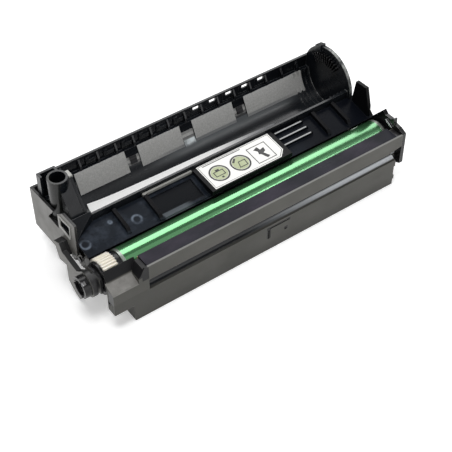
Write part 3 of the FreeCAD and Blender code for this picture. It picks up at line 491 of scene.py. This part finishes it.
def paper(name, low, high):
    """Coated label stock or a print on it, with a faint fibre mottle."""
    material, tree, shader = new_material(name)
    fibres = noise(tree, 700, 4, 0.7)
    tree.links.new(ramp(tree, fibres, low, high), shader.inputs["Base Color"])
    tree.links.new(ramp(tree, noise(tree, 80, 3), 0.45, 0.6), shader.inputs["Roughness"])
    bump(tree, shader, fibres, 0.000008, 0.3)
    return material


def felt_highlight_material(name, low, high):
    """Felt for a painted highlight strip, darker towards the free end, where the highlight fades.
    """
    material, tree, shader = new_material(name)
    fibres = noise(tree, 1500, 5, 0.75)
    # Darker towards the free end, where the painted highlight fades
    dust_and_fade = both(tree, beyond(tree, X, 158, 34),
                ramp(tree, noise(tree, 90, 5, 0.6, (0.4, 1, 1)), 0.75, 1.0))
    colour = paint(tree, ramp(tree, fibres, low, high), (dust_and_fade, (0.05, 0.055, 0.065)))
    tree.links.new(colour, shader.inputs["Base Color"])
    shader.inputs["Roughness"].default_value = 0.95
    shader.inputs["Sheen Weight"].default_value = 0.2
    bump(tree, shader, fibres, 0.00012, 0.6)
    return material


box_plastic = plastic("box_plastic", (0.074, 0.073, 0.064), (0.100, 0.098, 0.087),
                      rough=(0.40, 0.52), wear_and_glint=0.12, specular=0.3, shades=box_shades,
                      polished=groove)
end_plastic = plastic("end_plastic", (0.014, 0.014, 0.015), (0.022, 0.022, 0.023),
                      rough=(0.36, 0.5), wear_and_glint=0.20, shades=end_shades)
cover_plastic = plastic("cover_plastic", (0.006, 0.008, 0.012), (0.014, 0.018, 0.025),
                        rough=(0.24, 0.34), wear_and_glint=0.05, specular=0.08, shades=cover_shades)
bay_plastic = plastic("bay_plastic", (0.005, 0.006, 0.008), (0.010, 0.012, 0.015),
                      rough=(0.20, 0.28), wear_and_glint=0.15, specular=0.36, shades=bay_shades)
black_plastic = plastic("black_plastic", (0.006, 0.006, 0.007), (0.012, 0.012, 0.013),
                        rough=(0.18, 0.28), wear_and_glint=0.45, specular=0.3)
# The blade holder is steel under a black coat, which shines as the mouldings do
holder_steel = plastic("holder_steel", (0.008, 0.009, 0.014), (0.020, 0.020, 0.029),
                       rough=(0.26, 0.36), wear_and_glint=0.16, specular=0.07, shades=holder_shades)
# Pale grey plastic for the painted highlights of the latch lip and the flare clip
highlight_grey_plastic = plastic("highlight_grey_plastic", (0.38, 0.38, 0.36), (0.50, 0.50, 0.48),
                      rough=(0.3, 0.4), wear_and_glint=0.2)
drum_green = coated_drum("drum_coating")
cream = acetal("cream_acetal", (0.88, 0.83, 0.72), (0.94, 0.91, 0.83))
greased = acetal("greased_acetal", (0.030, 0.028, 0.024), (0.062, 0.058, 0.050))
steel = metal("plated_steel", (0.50, 0.50, 0.52), (0.68, 0.68, 0.70), rough=(0.24, 0.36))
dark_steel = metal("dark_steel", (0.050, 0.050, 0.052), (0.090, 0.090, 0.094),
                   rough=(0.34, 0.46))
hem_steel = metal("hem_steel", (0.018, 0.022, 0.018), (0.034, 0.040, 0.034),
                  rough=(0.36, 0.46))
black_rubber = elastic("black_rubber", (0.016, 0.016, 0.018), (0.030, 0.030, 0.033),
                       rough=0.62, scale=900, depth=0.00003, stretch=(0.4, 1, 1))
blade_rubber = elastic("blade_rubber", (0.30, 0.20, 0.11), (0.40, 0.28, 0.16),
                       rough=0.5, scale=400, depth=0.00002)
foam = elastic("roller_foam", (0.05, 0.05, 0.055), (0.13, 0.13, 0.14),
               rough=0.9, scale=1300, depth=0.0002)
label_paper = paper("label_paper", (0.90, 0.90, 0.87), (0.95, 0.95, 0.92))
dark_ink = paper("dark_ink", (0.020, 0.020, 0.020), (0.045, 0.045, 0.045))
olive_ink = paper("olive_ink", (0.42, 0.47, 0.27), (0.52, 0.57, 0.36))
grey_ink = paper("grey_ink", (0.10, 0.10, 0.10), (0.20, 0.20, 0.20))
# White felt that stands for a painted highlight in the trough
highlight_felt = felt_highlight_material("highlight_felt", (0.93, 0.93, 0.92), (0.98, 0.98, 0.98))

# The solids of each material; the others are black plastic
FINISH = {
    box_plastic: ("waste_toner_box",),
    end_plastic: ("left_end_cover", "latch_bracket", "drum_bearing_arm"),
    cover_plastic: ("developer_cover",),
    bay_plastic: ("toner_bay",),
    holder_steel: ("cleaning_blade_holder",),
    cream: ("drum_gear",),
    greased: ("developer_gear", "supply_gear", "agitator_gear"),
    steel: ("charge_shaft", "charge_spring_left", "charge_spring_right", "drum_shaft",
            "doctor_blade", "doctor_blade_holder"),
    dark_steel: ("developer_shaft", "supply_shaft", "earth_contact", "charge_contact",
                 "bay_clip_left", "bay_clip_right"),
    black_rubber: ("charge_roller", "developer_roller"),
    foam: ("supply_roller",),
    blade_rubber: ("cleaning_blade",),
    drum_green: ("drum_tube",),
    label_paper: ("label",),
}
finish_of = {name: material for material, names in FINISH.items() for name in names}
for name, solid in nodes.items():
    solid.data.materials.clear()
    solid.data.materials.append(finish_of.get(name, black_plastic))


# Making of the pieces


def add(name, points, faces, material, slot="black_plastic", body="frame", smooth=None):
    """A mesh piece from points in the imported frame; smooth is the angle that stays soft."""
    mesh = bpy.data.meshes.new(name)
    mesh.from_pydata([tuple(point) for point in points], [], faces)
    mesh.materials.append(material)
    if smooth is not None:
        mesh.shade_smooth()
        mesh.set_sharp_from_angle(angle=math.radians(smooth))
    made = bpy.data.objects.new(name, mesh)
    bpy.context.scene.collection.objects.link(made)
    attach(made, body)
    return made


def rounded(made, width):
    """Round the edges of a piece by a few tenths of a millimetre."""
    modifier = made.modifiers.new("rounding", "BEVEL")
    modifier.width = width * MM
    modifier.segments = 2
    modifier.limit_method = "ANGLE"
    return made


def outward(points, faces):
    """The faces of a closed shape, turned round where they would look into it."""
    volume = 0.0
    for face in faces:
        first, *rest = (points[index] - points[0] for index in face)
        for second, third in zip(rest, rest[1:]):
            volume += first.dot(second.cross(third))
    return faces if volume > 0 else [(face[0], *reversed(face[1:])) for face in faces]


def loft(loops, closed=False):
    """Faces that join loops of points in turn, with caps unless the last loop meets the first."""
    count = len(loops[0])
    points = [point for loop in loops for point in loop]
    faces = []
    turns = len(loops) if closed else len(loops) - 1
    for turn in range(turns):
        low, high = turn * count, (turn + 1) % len(loops) * count
        for index in range(count):
            after = (index + 1) % count
            faces.append((low + index, low + after, high + after, high + index))
    if not closed:
        faces.append(tuple(reversed(range(count))))
        faces.append(tuple(range(len(points) - count, len(points))))
    return points, outward(points, faces)


def plate(name, outline, low, high, material, rounding, **rest):
    """A plate across the drum's axis: an outline of depth and height between two places on X."""
    loops = [[at(x, y, z) for y, z in outline] for x in (low, high)]
    return rounded(add(name, *loft(loops), material, **rest), rounding)


def lathe(name, profile, centre, steps, material, **rest):
    """A piece turned about an axis along the drum, from a closed profile of (x, radius)."""
    loops = []
    for step in range(steps):
        angle = 360 * step / steps
        loops.append([at(x, *around(centre, radius, angle)) for x, radius in profile])
    return add(name, *loft(loops, closed=True), material, **rest)


# The drum's coated tube, turned smooth, with a small chamfer at each rim
tube_profile = [(4, 14.1), (4, 14.8), (4.2, 15), (6.7, 15),
                (253.2, 15), (255.8, 15), (256, 14.8), (256, 14.1)]
tube = lathe("photoconductor", tube_profile, centre=DRUM, steps=144, material=drum_green,
             slot="drum_coating", body="drum", smooth=30)
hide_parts("drum_tube")

# A white felt strip along the bottom of the trough, a painted highlight that narrows to the free
# end.
# Its upper edge is given as places on X with angles about the bay's axis. Its driven end is
# slanted.
HIGHLIGHT_EDGE = ((19, -67), (30, -69.5), (45, -71.5), (80, -74), (126, -76), (160, -79), (200, -83))
HIGHLIGHT_LOW = -88
HIGHLIGHT_TOP, HIGHLIGHT_UNDER = 24.6, 24.97
HIGHLIGHT_SLANT = 1.5
HIGHLIGHT_STEPS = 6
shares = [step / HIGHLIGHT_STEPS for step in range(HIGHLIGHT_STEPS + 1)]
section = ([(HIGHLIGHT_TOP, share) for share in shares]
           + [(HIGHLIGHT_UNDER, share) for share in reversed(shares)])
loops = []
for x, high in HIGHLIGHT_EDGE:
    slant = HIGHLIGHT_SLANT if x == HIGHLIGHT_EDGE[0][0] else 0
    loops.append([at(x + slant * share, *around(BAY, radius, HIGHLIGHT_LOW + (high - HIGHLIGHT_LOW) * share))
                  for radius, share in section])
add("trough_highlight_felt", *loft(loops), highlight_felt, slot="label_white", smooth=40)

# Print on the label. Its face is a plane with this height at this depth, and this rise.
LABEL_DEPTH = 34.2
LABEL_HEIGHT = 52.33
LABEL_SLOPE = 0.0767


def on_label(x, y, lift):
    """A point on the label's sloping face, lifted by a part of a millimetre."""
    return at(x, y, LABEL_HEIGHT + LABEL_SLOPE * (y - LABEL_DEPTH) + lift)


def printed(name, loops, ink, lift=0.02):
    """A flat print: each entry of loops is one outline, or an outer and an inner one."""
    points = []
    faces = []
    for loop in loops:
        start = len(points)
        if isinstance(loop[0], list):
            outer, inner = loop
            count = len(outer)
            points += [on_label(x, y, lift) for x, y in outer + inner]
            for index in range(count):
                after = (index + 1) % count
                faces.append((start + index, start + after, start + count + after,
                              start + count + index))
        else:
            points += [on_label(x, y, lift) for x, y in loop]
            faces.append(tuple(range(start, len(points))))
    return add(name, points, faces, ink, slot="label_white")


def circle(x, y, radius, steps=40):
    """Points of a circle on the label."""
    return [(x + radius * math.cos(math.tau * step / steps),
             y + radius * math.sin(math.tau * step / steps)) for step in range(steps)]


def rectangle(left, front, right, back):
    """Corners of a rectangle on the label."""
    return [(left, front), (right, front), (right, back), (left, back)]


def frame_line(outline, inset):
    """The same outline drawn again inside itself, its points moved towards the middle."""
    middle_x = sum(x for x, y in outline) / len(outline)
    middle_y = sum(y for x, y in outline) / len(outline)
    return [(x - math.copysign(inset, x - middle_x), y - math.copysign(inset, y - middle_y))
            for x, y in outline]


label_edge = [(99.3, 35.9), (161.6, 35.9), (167.2, 41.5), (167.2, 61.2), (99.3, 61.2)]
printed("label_border", [[label_edge, frame_line(label_edge, 0.35)]], dark_ink)
printed("label_bar", [rectangle(103, 59.2, 139, 60.1)], grey_ink)
ROUND_PLACES = ((110.7, 47.5), (130.9, 47.5))
RING_OUTER, RING_INNER, FIELD_RADIUS = 8.6, 7.2, 6.9
for index, (x, y) in enumerate(ROUND_PLACES):
    ring = [circle(x, y, RING_OUTER), circle(x, y, RING_INNER)]
    printed(f"pictogram_ring_{index}", [ring], dark_ink, lift=0.03)
    printed(f"pictogram_field_{index}", [circle(x, y, FIELD_RADIUS)], olive_ink)
# A cartridge with its handle, a folded cover and a lever, each as a plain figure
printed("pictogram_cartridge", [
    [rectangle(106.2, 44.6, 115.2, 50.2), rectangle(107.0, 45.4, 114.4, 49.4)],
    rectangle(109.0, 50.2, 112.4, 51.8),
    rectangle(110.0, 42.0, 112.0, 43.6),
], dark_ink, lift=0.04)
printed("pictogram_cover", [
    [(125.2, 50.8), (128.8, 54.2), (130.0, 53.2), (126.4, 49.6)],
    [[(127.6, 43.0), (135.4, 43.0), (136.2, 49.4), (129.6, 49.4)],
     [(128.6, 43.8), (134.7, 43.8), (135.2, 48.6), (130.1, 48.6)]],
], dark_ink, lift=0.04)
square = rectangle(142.5, 38.4, 160.2, 56.6)
printed("pictogram_frame", [[square, frame_line(square, 0.7)]], dark_ink)
printed("pictogram_lever", [
    [(149.6, 49.8), (148.6, 46.8), (150.2, 46.2), (152.6, 40.4), (155.6, 41.4), (152.8, 46.6),
     (155.4, 47.8), (156.2, 51.6), (152.4, 50.6), (151.4, 54.4), (147.2, 52.8)],
], dark_ink, lift=0.03)

# Raised lip round the latch bracket's window, between two places on X, pale grey as a painted
# highlight
LIP_FRONT, LIP_BACK = -17.7, -16.8
lip_outer = [(56.2, 49.6), (58.0, 48.4), (72.6, 51.0), (71.6, 62.4), (55.0, 63.2)]
lip_inner = [(57.2, 51.0), (58.4, 50.2), (71.2, 52.4), (70.4, 60.9), (56.3, 61.8)]
loops = [[at(LIP_FRONT, *inner), at(LIP_FRONT, *outer), at(LIP_BACK, *outer), at(LIP_BACK, *inner)]
         for outer, inner in zip(lip_outer, lip_inner)]
rounded(add("latch_lip", *loft(loops, closed=True), highlight_grey_plastic), width=0.15)

# Radial ribs on the inner face of the bay's right end, each about 1 mm thick. Their corners are
# given as a radius about the bay's axis and a turn from the rib's own angle.
RIB_COUNT = 11
RIB_START, RIB_PITCH = 48, 7.5
RIB_CORNERS = ((15.5, -1.8), (24.6, -1.1), (24.6, 1.1), (15.5, 1.8))
for index in range(RIB_COUNT):
    angle = RIB_START + RIB_PITCH * index
    outline = [around(BAY, radius, angle + turn) for radius, turn in RIB_CORNERS]
    plate(f"end_rib_{index}", outline, low=250.0, high=253.1, material=black_plastic,
          rounding=0.2)

# Hemmed edge of the blade holder, behind which the drum shows
hem_profile = [(13.8, 0.02), (13.8, 0.25), (253.4, 0.25), (253.4, 0.02)]
lathe("holder_hem", hem_profile, centre=(14.1, 49.5), steps=12, material=hem_steel, slot="steel",
      smooth=40)

# Clip over the top edge of the flare beside the post, pale grey as a painted highlight, and the
# steel leaf at the free end
clip_outline = [(85.4, 80.6), (92.3, 80.7), (97.0, 72.3), (95.0, 71.3), (91.0, 78.4), (85.4, 78.2)]
plate("flare_clip", clip_outline, low=1.4, high=4.7, material=highlight_grey_plastic, rounding=0.3)
leaf_outline = [(12.6, 49.9), (20.5, 53.6), (21.5, 52.8), (14.0, 48.9)]
plate("end_leaf", leaf_outline, low=257.4, high=258.4, material=steel, rounding=0.15, slot="steel")

# L-shaped tabs in the cells of the back wall: before the wall, or within it at a window
TAB_CELLS = range(2, 13)
FIRST_TAB_LEFT = 32.2
CELL_PITCH = 16.5
FIRST_WINDOW_CELL = 8
FRONT_AT_WALL, FRONT_AT_WINDOW = 116.6, 117.9
TAB_THICKNESS = 1.3
TAB_OUTLINE = ((0.2, 52.9), (9.5, 52.9), (9.5, 56.8), (3.4, 56.8), (3.4, 59.6), (0.2, 59.6))
for index in TAB_CELLS:
    left = FIRST_TAB_LEFT + CELL_PITCH * (index - TAB_CELLS[0])
    front = FRONT_AT_WINDOW if index >= FIRST_WINDOW_CELL else FRONT_AT_WALL
    loops = [[at(left + x, y, z) for x, z in TAB_OUTLINE] for y in (front, front + TAB_THICKNESS)]
    rounded(add(f"cell_tab_{index}", *loft(loops), bay_plastic), width=0.2)

# Camera at the photograph's viewing angle
camera_data = bpy.data.cameras.new("camera")
camera_data.lens = 91.2
camera_data.sensor_width = 36
camera = bpy.data.objects.new("camera", camera_data)
camera.location = at(-268.9, -483.5, 652.5)
camera.rotation_euler = (math.radians(44.8), 0, math.radians(-36))
bpy.context.scene.collection.objects.link(camera)
bpy.context.scene.camera = camera


# Floor, world and lamps


def add_seen(tree, surface, strength):
    """Add a plain white glow that only the camera, gloss and glass see."""
    rays = node(tree, "ShaderNodeLightPath")
    seen = either(tree, rays.outputs["Is Camera Ray"], rays.outputs["Is Glossy Ray"])
    seen = either(tree, seen, rays.outputs["Is Transmission Ray"])
    glow = node(tree, "ShaderNodeEmission")
    tree.links.new(combine(tree, "MULTIPLY", seen, strength), glow.inputs["Strength"])
    total = node(tree, "ShaderNodeAddShader")
    tree.links.new(surface, total.inputs[0])
    tree.links.new(glow.outputs[0], total.inputs[1])
    return total.outputs[0]


# Half the floor's width, and its height: a little under the foot, so that the two don't flicker
FLOOR_HALF = 3.0
FLOOR_HEIGHT = -0.0003
FLOOR_GLOW = 0.42
corners = [(x * FLOOR_HALF, y * FLOOR_HALF, FLOOR_HEIGHT)
           for x, y in ((-1, -1), (1, -1), (1, 1), (-1, 1))]
floor_mesh = bpy.data.meshes.new("floor")
floor_mesh.from_pydata(corners, [], [(0, 1, 2, 3)])
floor = bpy.data.objects.new("floor", floor_mesh)
bpy.context.scene.collection.objects.link(floor)
floor_paper, tree, shader = new_material("floor_paper")
shader.inputs["Base Color"].default_value = (0.92, 0.92, 0.92, 1)
shader.inputs["Roughness"].default_value = 0.95
shader.inputs["Specular IOR Level"].default_value = 0.1
output = tree.nodes["Material Output"]
tree.links.new(add_seen(tree, shader.outputs[0], FLOOR_GLOW), output.inputs["Surface"])
floor_mesh.materials.append(floor_paper)

world = bpy.data.worlds.new("studio")
bpy.context.scene.world = world
world.use_nodes = True
backdrop = world.node_tree.nodes["Background"]
backdrop.inputs["Color"].default_value = (1, 1, 1, 1)
backdrop.inputs["Strength"].default_value = 0.20

# Each lamp's place, width, height and glow. All are level along the drum and tilted to its line.
LAMPS = {
    "overhead": ((0.56, 0.66, 0.90), 1.0, 0.66, 3.4),
    "front": ((0.56, -1.10, 0.38), 1.0, 0.72, 1.6),
    "key": ((-0.28, -0.12, 1.15), 0.5, 0.4, 10.5),
    "fill": ((0.60, -0.30, 1.05), 0.9, 0.6, 0.45),
    "rim": ((0.80, -0.36, 1.00), 0.7, 0.08, 5.0),
}
AIM_HEIGHT = 0.03  # over the floor, in metres
for name, (place, width, height, glow) in LAMPS.items():
    data = bpy.data.lights.new(name, "AREA")
    data.shape = "RECTANGLE"
    data.size = width
    data.size_y = height
    data.energy = glow * math.pi * width * height
    lamp = bpy.data.objects.new(name, data)
    lamp.location = place
    lamp.rotation_euler = (math.atan2(-place[Y], place[Z] - AIM_HEIGHT), 0, 0)
    bpy.context.scene.collection.objects.link(lamp)

bpy.context.scene.view_settings.view_transform = "Standard"
